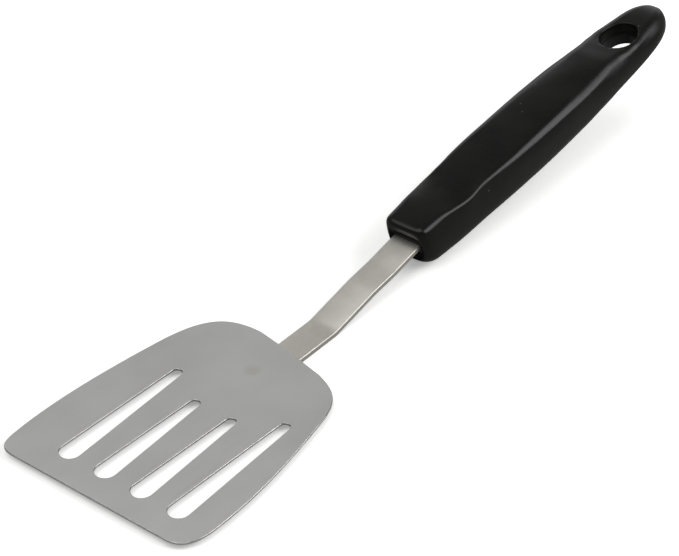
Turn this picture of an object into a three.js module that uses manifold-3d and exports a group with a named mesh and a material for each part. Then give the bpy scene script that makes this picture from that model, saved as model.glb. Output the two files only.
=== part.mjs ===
// Slotted turner for a grill: a stainless sheet blade spot-welded on a bent flat shank,
// whose tang is moulded into a plastic core inside a plastic handle shell.
//
// Tool frame, millimetres: X runs from the blade's front edge to the handle's tail, Y to the
// left, Z up from the bench. X = 0 at the front edge, Y = 0 on the shank's axis. The outer
// group then shifts the tool so that the origin is under the middle of its bounding box.

import * as THREE from 'three';
import { mergeVertices } from 'three/addons/utils/BufferGeometryUtils.js';
import Module from 'manifold-3d';

const wasm = await Module();
wasm.setup();

// ---- driving dimensions ----------------------------------------------------------------

const fit = 0.3; // clearance kept where one piece sits inside another

const shank = {
  width: 12,
  thickness: 2,
  noseX: 75, // front end, under the blade
  noseRadius: 4,
  // each bend: where its corner is, the slope after it in degrees, and its radius
  bends: [
    { x: 116, slope: 12.5, radius: 14 }, // up off the bench
    { x: 138, slope: 8, radius: 40 },
    { x: 149, slope: 12.1, radius: 25 }, // a slight set just before the handle
    { x: 162.5, slope: 8, radius: 25 }, // inside it the tang follows the handle's slope
  ],
  endX: 238,
};

const blade = {
  thickness: 0.8,
  underside: shank.thickness, // the blade lies on the shank
  left: 45.2, // widest half, left of the shank's axis
  right: 41.4, // widest half, right of it
};

const slots = {
  middle: -1.6, // the slot pattern's own centre line
  frontX: 13.1, // centre of the round front end
  frontRadius: 4,
  rearRadius: 2,
  outer: { y: 24.5, rearX: 64.8 },
  inner: { y: 8.1, rearX: 56 },
};

const welds = {
  radius: 2.1,
  blade: 0.3, // how far the fused metal reaches into the blade
  shank: 0.75, // and into the shank
  centres: [[81.3, 2.6], [91.5, -2.6]],
};

const handle = {
  tilt: 8, // degrees above the bench, the slope of the tang
  start: { x: 162, z: 9.26 }, // where its axis meets its front face
  length: 162.3,
  topRim: { reach: 3, depth: 2.1 }, // roundings at the front: how far along, how deep
  sideRim: { reach: 5.5, depth: 2 },
  heel: { reach: 8, depth: 3.6 },
  lean: 3, // the front face's foot stands this far back
  tailStart: 134,
  tailPower: 4.1, // 2 closes the tail as an ellipse, more makes it blunter
  tailMiddle: 0.4, // height of the tail's tip above the handle's axis
  mouth: [ // shallow steps in the front face, from the rim inwards
    { depth: 0.5, halfWidth: 7.35, top: 6.9, bottom: 6 },
    { depth: 1, halfWidth: 7.05, top: 5.6, bottom: 5 },
    { depth: 1.5, halfWidth: 6.8, top: 4.4, bottom: 4.1 },
  ],
  hole: { s: 135.6, y: -0.5, halfWidth: 6.35, stretch: 1.354, ledge: 0.7, shelf: 2.4, step: 0.35 },
};

const core = {
  collar: { start: 0.8, end: 2.7, halfWidth: 6.45, halfHeight: 3.2 }, // fills the mouth round the shank
  end: 86.6,
  halfWidth: 7.4,
  halfHeight: 3.4,
  cornerRadius: 2.4,
  pegRadius: 1.7,
};

const tang = {
  holes: [22, 68], // distances from the handle's front face
  holeRadius: 2,
  notchS: 45,
  notchDepth: 1.4,
  notchHalfLength: 2.2,
};

const rad = THREE.MathUtils.degToRad;
const tilt = rad(handle.tilt);

// ---- solids and booleans ---------------------------------------------------------------

function toSolid(geometry) {
  const bare = geometry.clone();
  bare.deleteAttribute('normal');
  bare.deleteAttribute('uv');
  const merged = mergeVertices(bare, 1e-4);
  return new wasm.Manifold(new wasm.Mesh({
    numProp: 3,
    vertProperties: new Float32Array(merged.attributes.position.array),
    triVerts: new Uint32Array(merged.index.array),
  }));
}

function toGeometry(solid) {
  const mesh = solid.getMesh();
  const geometry = new THREE.BufferGeometry();
  geometry.setAttribute('position', new THREE.BufferAttribute(mesh.vertProperties, 3));
  geometry.setIndex(new THREE.BufferAttribute(mesh.triVerts, 1));
  geometry.computeVertexNormals();
  return geometry;
}

function cutAll(geometry, cutters) {
  let solid = toSolid(geometry);
  for (const cutter of cutters) solid = solid.subtract(toSolid(cutter));
  return toGeometry(solid);
}

function addMesh(group, name, geometry, material) {
  const mesh = new THREE.Mesh(geometry, material);
  mesh.name = name;
  group.add(mesh);
  return mesh;
}

// a flat plate whose outline is drawn in X and Y, from height z up
function plate(shape, z, thickness, curveSegments) {
  const geometry = new THREE.ExtrudeGeometry(shape, {
    depth: thickness,
    bevelEnabled: false,
    curveSegments,
  });
  return geometry.translate(0, 0, z);
}

// a round solid on a vertical axis, from [radius, height] points
function turned(points, x, y, segments) {
  const profile = points.map(([r, z]) => new THREE.Vector2(r, z));
  return new THREE.LatheGeometry(profile, segments).rotateX(Math.PI / 2).translate(x, y, 0);
}

// ---- blade -----------------------------------------------------------------------------

function bladeOutline() {
  const { left, right } = blade;
  const outline = new THREE.Shape();
  outline.moveTo(0, 37.5);
  outline.bezierCurveTo(0.2, 42.5, 2, 44.4, 9, 44.8);
  outline.bezierCurveTo(22, left + 0.6, 42, 45.4, 76, 39.5);
  outline.bezierCurveTo(94, 36, 99.8, 29.5, 99.6, 15);
  outline.bezierCurveTo(98.4, 6, 95.4, -7, 93.2, -17);
  outline.bezierCurveTo(89.5, -28, 85.5, -31.5, 75, -34);
  outline.bezierCurveTo(50, -39.2, 34, -right - 0.2, 16, -right);
  outline.bezierCurveTo(5, -right, 0.4, -39, 0, -32);
  outline.closePath();
  return outline;
}

// teardrop slot: a large round front end, a small round rear end, straight sides between
function slotPath(y, rearX) {
  const { frontX, frontRadius, rearRadius } = slots;
  const lean = Math.acos((frontRadius - rearRadius) / (rearX - frontX));
  const path = new THREE.Path();
  path.absarc(frontX, y, frontRadius, lean, 2 * Math.PI - lean, false);
  path.absarc(rearX, y, rearRadius, -lean, lean, false);
  path.closePath();
  return path;
}

function buildBlade() {
  const outline = bladeOutline();
  for (const { y, rearX } of [slots.outer, slots.inner]) {
    for (const side of [1, -1]) outline.holes.push(slotPath(slots.middle + side * y, rearX));
  }
  const sheet = plate(outline, blade.underside, blade.thickness, 12);
  return cutAll(sheet, welds.centres.map(([x, y]) => weldPocket(x, y)));
}

// ---- spot welds: a lens of fused metal across the two sheets ---------------------------

function weldLens(x, y, gap) {
  const low = blade.underside - welds.shank - gap;
  const high = blade.underside + welds.blade + gap;
  const rim = welds.radius + gap;
  const flat = rim * 0.7;
  const crown = 0.08;
  const profile = [[0, low], [flat, low + crown], [rim, blade.underside], [flat, high - crown], [0, high]];
  return turned(profile, x, y, 20);
}

function weldPocket(x, y) {
  return weldLens(x, y, fit);
}

// ---- shank -----------------------------------------------------------------------------

// the strip's underside as a chain of points: straights joined by arcs at the bends
function shankLine() {
  const points = [new THREE.Vector2(shank.noseX, 0)];
  let [x, z, slope] = [shank.noseX, 0, 0];
  for (const turn of shank.bends) {
    z += (turn.x - x) * Math.tan(slope);
    x = turn.x;
    points.push(...bend(new THREE.Vector2(x, z), slope, rad(turn.slope), turn.radius));
    slope = rad(turn.slope);
  }
  points.push(new THREE.Vector2(shank.endX, z + (shank.endX - x) * Math.tan(slope)));
  return points;
}

// height of the tang's middle above the handle's axis
function tangHeight() {
  const end = shankLine().pop();
  const above = (end.y - handle.start.z) * Math.cos(tilt) - (end.x - handle.start.x) * Math.sin(tilt);
  return above + shank.thickness / 2;
}

// points of the arc that rounds a corner from one slope to the next
function bend(corner, slopeIn, slopeOut, radius) {
  const steps = 5;
  const turn = slopeOut - slopeIn;
  const reach = radius * Math.tan(Math.abs(turn) / 2);
  const start = new THREE.Vector2(corner.x - reach * Math.cos(slopeIn), corner.y - reach * Math.sin(slopeIn));
  const side = Math.sign(turn);
  const centre = new THREE.Vector2(
    start.x - side * radius * Math.sin(slopeIn),
    start.y + side * radius * Math.cos(slopeIn),
  );
  const points = [];
  for (let i = 0; i <= steps; i++) {
    const slope = slopeIn + (turn * i) / steps;
    points.push(new THREE.Vector2(
      centre.x + side * radius * Math.sin(slope),
      centre.y - side * radius * Math.cos(slope),
    ));
  }
  return points;
}

// the same chain moved up by the strip's thickness, square to the strip
function offsetLine(points, distance) {
  return points.map((p, i) => {
    const a = points[Math.max(i - 1, 0)];
    const b = points[Math.min(i + 1, points.length - 1)];
    const along = b.clone().sub(a).normalize();
    return new THREE.Vector2(p.x - along.y * distance, p.y + along.x * distance);
  });
}

function shankPlan() {
  const half = shank.width / 2;
  const plan = new THREE.Shape();
  const r = shank.noseRadius;
  const x0 = shank.noseX;
  plan.moveTo(x0 + r, -half);
  plan.lineTo(shank.endX + 1, -half);
  plan.lineTo(shank.endX + 1, half);
  plan.lineTo(x0 + r, half);
  plan.absarc(x0 + r, half - r, r, Math.PI / 2, Math.PI, false);
  plan.absarc(x0 + r, -half + r, r, Math.PI, 1.5 * Math.PI, false);
  return plan;
}

function handlePoint(s, n) {
  return [
    handle.start.x + s * Math.cos(tilt) - n * Math.sin(tilt),
    handle.start.z + s * Math.sin(tilt) + n * Math.cos(tilt),
  ];
}

function buildShank() {
  const low = shankLine();
  const high = offsetLine(low, shank.thickness);
  const side = new THREE.Shape([...low, ...high.reverse()]);
  const strip = new THREE.ExtrudeGeometry(side, { depth: shank.width, bevelEnabled: false });
  strip.rotateX(Math.PI / 2).translate(0, shank.width / 2, 0);
  const outline = plate(shankPlan(), -1, 60, 6);
  let solid = toSolid(strip).intersect(toSolid(outline));
  for (const cutter of tangCutters()) solid = solid.subtract(toSolid(cutter));
  for (const [x, y] of welds.centres) solid = solid.subtract(toSolid(weldPocket(x, y)));
  return toGeometry(solid);
}

// round holes and side notches that key the tang into the core
function tangCutters() {
  const cutters = tang.holes.map((s) => {
    const [x, z] = handlePoint(s, 0);
    return new THREE.CylinderGeometry(tang.holeRadius, tang.holeRadius, 12, 16)
      .rotateX(Math.PI / 2).rotateY(-tilt).translate(x, 0, z);
  });
  for (const side of [1, -1]) {
    const [x, z] = handlePoint(tang.notchS, 0);
    cutters.push(new THREE.BoxGeometry(2 * tang.notchHalfLength, 2 * tang.notchDepth, 12)
      .rotateY(-tilt).translate(x, (side * shank.width) / 2, z));
  }
  return cutters;
}

// ---- handle shell ----------------------------------------------------------------------

// the handle's lines along its axis: [distance from the front face, value]
const handleLines = {
  width: [
    [0, 9.6], [5, 10.3], [11, 10.8], [20, 11.4], [29, 11.7], [53, 12.8], [79, 13.2], [107, 13],
    [120, 12.6], [130, 12.1], [139, 11.6], [150, 10.9], [164, 9.9],
  ],
  // the crease, off the axis and above it: it swings out and down beside the thumb
  crease: [
    [0, 8.4], [3, 8.9], [11, 9.2], [19, 10.1], [27, 10.9], [35, 10.5], [43, 11], [53, 11.4], [66, 11],
    [84, 10.8], [100, 10], [110, 9.1], [116, 8.7], [123, 8.5], [130, 9.4], [134, 9.4], [140, 8.4],
    [147, 7.1], [154, 6.6], [164, 6],
  ],
  creaseHeight: [
    [0, 9.6], [3, 10], [11, 9.8], [19, 8.6], [27, 7.9], [35, 8.7], [43, 8.9], [53, 8.7], [66, 8.5],
    [84, 8], [100, 7.3], [116, 6.9], [124, 6.1], [132, 4.9], [140, 4.6], [150, 4.6], [164, 4.15],
  ],
  crown: [
    [0, 9.9], [11, 9.9], [27, 9.2], [43, 9.1], [66, 8.8], [84, 8.7], [100, 8.4], [116, 7.4], [124, 6.3],
    [132, 5.3], [140, 4.85], [164, 4.35],
  ],
  belly: [
    [0, -10], [10, -10.2], [41, -10.7], [73, -11.4], [95, -10.9], [110, -9], [122, -7.2], [135, -6.1],
    [150, -5], [164, -3.8],
  ],
  squareness: [[0, 0.72], [90, 0.72], [130, 0.52], [164, 0.55]], // below 1 fills the lower corners out
  creaseRound: [
    [0, 3.2], [8, 3], [18, 1.4], [32, 1.4], [42, 2], [58, 2.6], [85, 2.8], [120, 2.4], [164, 2],
  ],
  // 1 is a straight flank, 2 a round one
  bulge: [[0, 1.5], [40, 1.7], [58, 3.1], [96, 2.9], [120, 1.5], [164, 1.3]],
  // where the widest level lies, as a share of the way from belly to crease
  waist: [[0, 0.5], [100, 0.5], [124, 0.38], [139, 0.3], [164, 0.3]],
};

// value of one line at distance s: a smooth curve through the points, without overshoot
function lineAt(name, s) {
  const points = handleLines[name];
  const last = points.length - 1;
  const x = Math.min(Math.max(s, points[0][0]), points[last][0]);
  let k = 0;
  while (k < last - 1 && points[k + 1][0] <= x) k += 1;
  const chord = (i) => (points[i + 1][1] - points[i][1]) / (points[i + 1][0] - points[i][0]);
  const knotSlope = (i) => {
    if (i === 0 || i === last) return chord(Math.min(i, last - 1));
    const a = chord(i - 1);
    const b = chord(i);
    return a * b > 0 ? (2 * a * b) / (a + b) : 0;
  };
  const h = points[k + 1][0] - points[k][0];
  const t = (x - points[k][0]) / h;
  return points[k][1] * (1 + 2 * t) * (1 - t) ** 2
    + points[k + 1][1] * t * t * (3 - 2 * t)
    + h * (1 - t) * t * (knotSlope(k) * (1 - t) - knotSlope(k + 1) * t);
}

// how far a rounding at the front draws an edge in, at distance s
function drawnIn(s, { reach, depth }) {
  return s < reach ? depth * (1 - Math.sqrt(1 - (1 - s / reach) ** 2)) : 0;
}

// how the round tail closes, in plan and in depth, as parts of the full size
function tailClosure(s) {
  const t = Math.max(0, (s - handle.tailStart) / (handle.length - handle.tailStart));
  return { plan: Math.sqrt(1 - t ** handle.tailPower), depth: Math.sqrt(1 - t ** 5) };
}

// the front face slopes: its foot is further back than its top
function leanBack(s, n) {
  const share = Math.min(Math.max((9.4 - n) / 19.4, 0), 1);
  return s + handle.lean * share * Math.max(0, 1 - s / 30) ** 2;
}

// point of a curve with three or four control points
function curvePoint(controls, t) {
  let points = controls;
  while (points.length > 1) {
    points = points.slice(1).map(([y, n], i) => {
      const [y0, n0] = points[i];
      return [y0 + (y - y0) * t, n0 + (n - n0) * t];
    });
  }
  return points[0];
}

// one section: half of it from the top's middle round to the bottom's middle, then mirrored
function handleSection(s) {
  const { plan, depth } = tailClosure(s);
  const rim = drawnIn(s, handle.topRim);
  const aboutTail = (v) => handle.tailMiddle + (v - handle.tailMiddle) * depth;
  const width = lineAt('width', s) * plan - drawnIn(s, handle.sideRim);
  const crease = Math.min(lineAt('crease', s) * plan - rim, width - 0.05);
  const crown = aboutTail(lineAt('crown', s)) - rim;
  const edge = Math.min(aboutTail(lineAt('creaseHeight', s)) - rim, crown - 0.02);
  const bottom = aboutTail(lineAt('belly', s)) + drawnIn(s, handle.heel);
  const widest = bottom + (edge - bottom) * lineAt('waist', s);
  const soft = Math.min(lineAt('creaseRound', s), 0.45 * crease, 0.6 * (edge - widest));
  const topAt = (y) => crown - (crown - edge) * (y / crease) ** 2;

  // the flank leaves the crease at a slope of its own and comes down upright
  const chord = Math.atan2(edge - widest, width - crease);
  const slope = Math.PI / 2 - (Math.PI / 2 - chord) * lineAt('bulge', s);
  const pull = 0.36 * Math.hypot(width - crease, edge - widest);
  const flank = [
    [crease, edge],
    [crease + pull * Math.cos(slope), edge - pull * Math.sin(slope)],
    [width, widest + pull],
    [width, widest],
  ];
  const leave = Math.min(soft / (3 * pull), 0.5);
  const inner = crease - soft;
  const corner = [[inner, topAt(inner)], [crease, edge], curvePoint(flank, leave)];

  const half = [[0, crown], [inner * 0.55, topAt(inner * 0.55)]];
  for (let i = 0; i < 3; i++) half.push(curvePoint(corner, i / 3));
  for (let i = 0; i < 3; i++) half.push(curvePoint(flank, leave + ((1 - leave) * i) / 3));
  const bellySteps = 6;
  const square = lineAt('squareness', s);
  for (let i = 0; i <= bellySteps; i++) {
    const a = (Math.PI / 2) * (i / bellySteps);
    half.push([width * Math.cos(a) ** square, widest - (widest - bottom) * Math.sin(a) ** square]);
  }
  half[half.length - 1][0] = 0;
  const mirrored = half.slice(1, -1).reverse().map(([y, n]) => [-y, n]);
  return [...half, ...mirrored];
}

// skin over a row of sections, closed at each end by a fan from its middle
function loft(stations, sectionAt) {
  const positions = [];
  const index = [];
  const rings = stations.map((s) => sectionAt(s));
  const count = rings[0].length;
  rings.forEach((ring, k) => ring.forEach(([y, n]) => positions.push(leanBack(stations[k], n), y, n)));
  for (let k = 0; k + 1 < rings.length; k++) {
    for (let i = 0; i < count; i++) {
      const a = k * count + i;
      const b = k * count + ((i + 1) % count);
      index.push(a, a + count, b, b, a + count, b + count);
    }
  }
  for (const k of [0, rings.length - 1]) {
    const middle = positions.length / 3;
    const meanHeight = rings[k].reduce((sum, [, n]) => sum + n, 0) / count;
    positions.push(leanBack(stations[k], meanHeight), 0, meanHeight);
    for (let i = 0; i < count; i++) {
      const a = k * count + i;
      const b = k * count + ((i + 1) % count);
      if (k === 0) index.push(middle, a, b);
      else index.push(middle, b, a);
    }
  }
  const geometry = new THREE.BufferGeometry();
  geometry.setAttribute('position', new THREE.Float32BufferAttribute(positions, 3));
  geometry.setIndex(index);
  return geometry;
}

function handleStations() {
  const stations = [0, 0.3, 0.9, 1.8, 3, 4.6, 6.8];
  for (let s = 10; s < handle.tailStart; s += 7.5) stations.push(s);
  const tailSteps = 9;
  for (let i = 0; i < tailSteps; i++) {
    const a = (Math.PI / 2) * (i / tailSteps);
    stations.push(handle.tailStart + (handle.length - handle.tailStart) * Math.sin(a));
  }
  stations.push(handle.length - 0.05);
  return stations;
}

// rounded box along the handle's axis, s from start to end
function roundedBar(start, end, halfWidth, top, bottom, radius) {
  const shape = new THREE.Shape();
  const r = radius;
  shape.absarc(halfWidth - r, top - r, r, 0, Math.PI / 2, false);
  shape.absarc(-halfWidth + r, top - r, r, Math.PI / 2, Math.PI, false);
  shape.absarc(-halfWidth + r, -bottom + r, r, Math.PI, 1.5 * Math.PI, false);
  shape.absarc(halfWidth - r, -bottom + r, r, 1.5 * Math.PI, 2 * Math.PI, false);
  const bar = new THREE.ExtrudeGeometry(shape, { depth: end - start, bevelEnabled: false, curveSegments: 5 });
  return bar.rotateX(Math.PI / 2).rotateZ(Math.PI / 2).translate(start, 0, 0);
}

// follows the slope of the handle's front face
function leaned(geometry) {
  const place = geometry.attributes.position;
  for (let i = 0; i < place.count; i++) place.setX(i, leanBack(place.getX(i), place.getZ(i)));
  return geometry;
}

// oval bore, narrowed by two ledges
function hangHoleCutter() {
  const { s, y, halfWidth, stretch, ledge, shelf, step } = handle.hole;
  return turned([
    [0, -14],
    [halfWidth - step, -14],
    [halfWidth - step, ledge],
    [halfWidth, ledge],
    [halfWidth, shelf],
    [halfWidth + step, shelf],
    [halfWidth + step, 3.6],
    [halfWidth + 2 * step, 4.8],
    [halfWidth + 5 * step, 9],
    [0, 9],
  ], 0, 0, 28).scale(stretch, 1, 1).translate(s, y, 0);
}

function buildHandle() {
  const outer = loft(handleStations(), handleSection);
  let depth = -4;
  const recess = handle.mouth.map((step) => {
    const bar = roundedBar(depth, step.depth, step.halfWidth, step.top, step.bottom, 2.6);
    depth = step.depth - 0.2;
    return leaned(bar);
  });
  const { collar } = core;
  const [wide, high] = [collar.halfWidth + fit, collar.halfHeight + fit];
  const neck = leaned(roundedBar(depth, collar.end, wide, high, high, core.cornerRadius));
  const bed = leaned(roundedBar(
    collar.end - fit,
    core.end + fit,
    core.halfWidth + fit,
    core.halfHeight + fit,
    core.halfHeight + fit,
    core.cornerRadius,
  ));
  return cutAll(outer, [...recess, neck, bed, hangHoleCutter()]);
}

// ---- handle core -----------------------------------------------------------------------

// inner moulding that holds the tang; pegs of the same plastic pass through the tang's holes
function buildCore() {
  const { collar, halfWidth, halfHeight, cornerRadius } = core;
  const body = roundedBar(collar.end, core.end, halfWidth, halfHeight, halfHeight, cornerRadius);
  const neck = roundedBar(
    collar.start,
    collar.end + 0.2,
    collar.halfWidth,
    collar.halfHeight,
    collar.halfHeight,
    cornerRadius - 0.2,
  );
  const tangEnd = (shank.endX - handle.start.x) / Math.cos(tilt);
  const slotLength = tangEnd + 4;
  const slot = new THREE.BoxGeometry(slotLength, shank.width + 2 * fit, shank.thickness + 2 * fit)
    .translate(slotLength / 2 - 3, 0, tangHeight());
  let solid = toSolid(leaned(body)).add(toSolid(leaned(neck))).subtract(toSolid(slot));
  for (const s of tang.holes) {
    const peg = new THREE.CylinderGeometry(core.pegRadius, core.pegRadius, 2 * core.halfHeight - 1, 16)
      .rotateX(Math.PI / 2).translate(s, 0, 0);
    solid = solid.add(toSolid(peg));
  }
  return toGeometry(solid);
}

// ---- the tool --------------------------------------------------------------------------

const bladeSteel = new THREE.MeshStandardMaterial({ color: 0xa5a5a3, roughness: 0.34, metalness: 1 });
const shankSteel = new THREE.MeshStandardMaterial({ color: 0xaca9a3, roughness: 0.3, metalness: 1 });
const weldSteel = new THREE.MeshStandardMaterial({ color: 0x8d8a84, roughness: 0.5, metalness: 1 });
const shellPlastic = new THREE.MeshStandardMaterial({ color: 0x1c1c1a, roughness: 0.3, metalness: 0 });
const corePlastic = new THREE.MeshStandardMaterial({ color: 0x171716, roughness: 0.5, metalness: 0 });

const tool = new THREE.Group();
addMesh(tool, 'blade', buildBlade(), bladeSteel);
addMesh(tool, 'shank', buildShank(), shankSteel);
['front_spot_weld', 'rear_spot_weld'].forEach((name, i) => {
  const [x, y] = welds.centres[i];
  addMesh(tool, name, weldLens(x, y, 0), weldSteel);
});

const grip = new THREE.Group();
grip.position.set(handle.start.x, 0, handle.start.z);
grip.rotation.y = -tilt;
addMesh(grip, 'handle_core', buildCore(), corePlastic);
addMesh(grip, 'handle_shell', buildHandle(), shellPlastic);
tool.add(grip);

// the origin goes under the middle of the bounding box
const box = new THREE.Box3().setFromObject(tool, true);
tool.position.set(-(box.min.x + box.max.x) / 2, -(box.min.y + box.max.y) / 2, -box.min.z);

const turner = new THREE.Group();
turner.add(tool);

export default turner;
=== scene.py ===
import math

import bpy
from mathutils import Matrix, Quaternion, Vector


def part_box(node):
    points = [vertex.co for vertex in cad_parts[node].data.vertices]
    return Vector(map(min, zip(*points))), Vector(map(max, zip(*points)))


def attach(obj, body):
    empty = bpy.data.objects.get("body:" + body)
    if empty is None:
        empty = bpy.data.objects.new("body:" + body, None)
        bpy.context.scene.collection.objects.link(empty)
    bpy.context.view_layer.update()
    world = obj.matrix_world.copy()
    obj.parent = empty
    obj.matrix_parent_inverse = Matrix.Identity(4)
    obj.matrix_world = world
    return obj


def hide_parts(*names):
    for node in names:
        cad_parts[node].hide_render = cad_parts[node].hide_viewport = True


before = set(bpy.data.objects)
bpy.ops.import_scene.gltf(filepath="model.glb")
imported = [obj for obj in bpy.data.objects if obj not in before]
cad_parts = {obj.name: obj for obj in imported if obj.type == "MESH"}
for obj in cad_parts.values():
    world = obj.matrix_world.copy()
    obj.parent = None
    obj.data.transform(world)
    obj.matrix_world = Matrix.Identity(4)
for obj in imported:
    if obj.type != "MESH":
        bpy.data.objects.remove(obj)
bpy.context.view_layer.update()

mm = 0.001

# everything is drawn from the middle of the blade's front edge, on the bench, in mm
shankLow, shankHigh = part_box("shank")
toolOrigin = Vector((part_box("blade")[0][0], (shankLow[1] + shankHigh[1]) / 2, 0))


def linear(hexColour):
    # an sRGB hex value as the linear colour that a shader wants
    parts = [int(hexColour[i:i + 2], 16) / 255 for i in (1, 3, 5)]
    return tuple(c / 12.92 if c <= 0.04045 else ((c + 0.055) / 1.055) ** 2.4 for c in parts) + (1.0,)


def addNode(tree, kind, settings=None, links=None):
    # settings are the node's attributes or unlinked inputs, links are {input: socket that feeds it}
    node = tree.nodes.new(kind)
    for key, value in (settings or {}).items():
        if isinstance(key, str) and hasattr(node, key):
            setattr(node, key, value)
        else:
            node.inputs[key].default_value = value
    for key, source in (links or {}).items():
        tree.links.new(source, node.inputs[key])
    return node


def newMaterial(name, settings):
    # a material with its Principled shader, whose plain values are set on the shader itself
    material = bpy.data.materials.new(name)
    material.use_nodes = True
    tree = material.node_tree
    shader = tree.nodes["Principled BSDF"]
    for key, value in settings.items():
        shader.inputs[key].default_value = value
    place = addNode(tree, "ShaderNodeTexCoord").outputs["Object"]
    return material, tree, shader, place


def addPiece(name, mesh, materials):
    piece = bpy.data.objects.new(name, mesh)
    bpy.context.scene.collection.objects.link(piece)
    mesh.materials.clear()
    for material in materials:
        mesh.materials.append(material)
    mesh.shade_smooth()
    return piece


sheetFinish = {
    "steel": "#dddddb",
    "shade": "#d4d4d2",
    "heatTint": "#bcb8a6",
    "grainWidth": 0.4,    # mm; the real grain is 0.1 mm or finer, drawn coarser so that it shows
    "grainLength": 30,
    "cloudSize": 35,      # mm, slow change from handling and washing
    "roughness": (0.46, 0.52),
    "weldMark": (81.3, 2.6),
    "weldMarkRadius": 1.9,
    "heatStrength": 0.3,
}


def brushedStainless():
    # 18/8 stainless sheet, cold rolled and satin brushed: an even silvery grey with fine lines along
    # the blade, a soft wide reflection, and a straw-coloured ring where the spot weld heated it
    f = sheetFinish
    material, tree, shader, place = newMaterial("brushedStainless", {"Metallic": 1.0})
    grainScale = (1 / (f["grainLength"] * mm), 1 / (f["grainWidth"] * mm), 1 / (f["grainWidth"] * mm))
    along = addNode(tree, "ShaderNodeMapping", {"Scale": grainScale}, {"Vector": place})
    grain = addNode(tree, "ShaderNodeTexNoise", {"Scale": 1.0, "Detail": 3.0, "Roughness": 0.6},
                    {"Vector": along.outputs[0]})
    clouds = addNode(tree, "ShaderNodeTexNoise", {"Scale": 1 / (f["cloudSize"] * mm), "Detail": 4.0},
                     {"Vector": place})
    tone = addNode(tree, "ShaderNodeMapRange", {"From Min": 0.35, "From Max": 0.65},
                   {"Value": clouds.outputs["Fac"]})
    steel = addNode(tree, "ShaderNodeMix",
                    {"data_type": "RGBA", 6: linear(f["shade"]), 7: linear(f["steel"])},
                    {"Factor": tone.outputs[0]})
    # only the rim of the pressed ring stays faintly straw-coloured
    markAt = toolOrigin + Vector((*f["weldMark"], 2.8)) * mm
    away = addNode(tree, "ShaderNodeVectorMath", {"operation": "DISTANCE", 1: markAt}, {0: place})
    heat = addNode(tree, "ShaderNodeMapRange", {"interpolation_type": "SMOOTHSTEP",
                   "From Min": f["weldMarkRadius"] * 0.6 * mm, "From Max": f["weldMarkRadius"] * 2.2 * mm,
                   "To Min": f["heatStrength"], "To Max": 0.0}, {"Value": away.outputs["Value"]})
    tinted = addNode(tree, "ShaderNodeMix", {"data_type": "RGBA", 7: linear(f["heatTint"])},
                     {"Factor": heat.outputs[0], 6: steel.outputs[2]})
    tree.links.new(tinted.outputs[2], shader.inputs["Base Color"])
    glossy, dull = f["roughness"]
    gloss = addNode(tree, "ShaderNodeMapRange",
                    {"From Min": 0.3, "From Max": 0.7, "To Min": glossy, "To Max": dull},
                    {"Value": grain.outputs["Fac"]})
    tree.links.new(gloss.outputs[0], shader.inputs["Roughness"])
    # the electrode leaves a shallow dimple with a raised lip
    dimple = addNode(tree, "ShaderNodeMapRange", {"interpolation_type": "SMOOTHSTEP",
                     "From Min": f["weldMarkRadius"] * 0.75 * mm, "From Max": f["weldMarkRadius"] * mm},
                     {"Value": away.outputs["Value"]})
    lines = addNode(tree, "ShaderNodeBump", {"Strength": 0.10, "Distance": 0.03 * mm},
                    {"Height": grain.outputs["Fac"]})
    pressed = addNode(tree, "ShaderNodeBump", {"Strength": 0.5, "Distance": 0.08 * mm},
                      {"Height": dimple.outputs[0], "Normal": lines.outputs[0]})
    tree.links.new(pressed.outputs[0], shader.inputs["Normal"])
    return material


def polishedEdge():
    # the same sheet's tumbled edge: deburred smooth, so it catches the light as a thin bright line
    material, tree, shader, place = newMaterial("polishedEdge", {"Metallic": 1.0, "Roughness": 0.22})
    nicks = addNode(tree, "ShaderNodeTexNoise", {"Scale": 1 / (1.5 * mm), "Detail": 2.0}, {"Vector": place})
    tone = addNode(tree, "ShaderNodeMix", {"data_type": "RGBA", 6: linear("#bdbcb8"), 7: linear("#dcdbd8")},
                   {"Factor": nicks.outputs["Fac"]})
    tree.links.new(tone.outputs[2], shader.inputs["Base Color"])
    return material


stripFinish = {
    "steel": "#dedbd3",
    "shade": "#d6d3cb",
    "smudge": "#8f8b84",
    "lineWidth": 0.35,   # mm between rolling lines, drawn coarser than the real 0.1 mm
    "lineLength": 45,
    "roughness": (0.46, 0.52),
}


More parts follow.
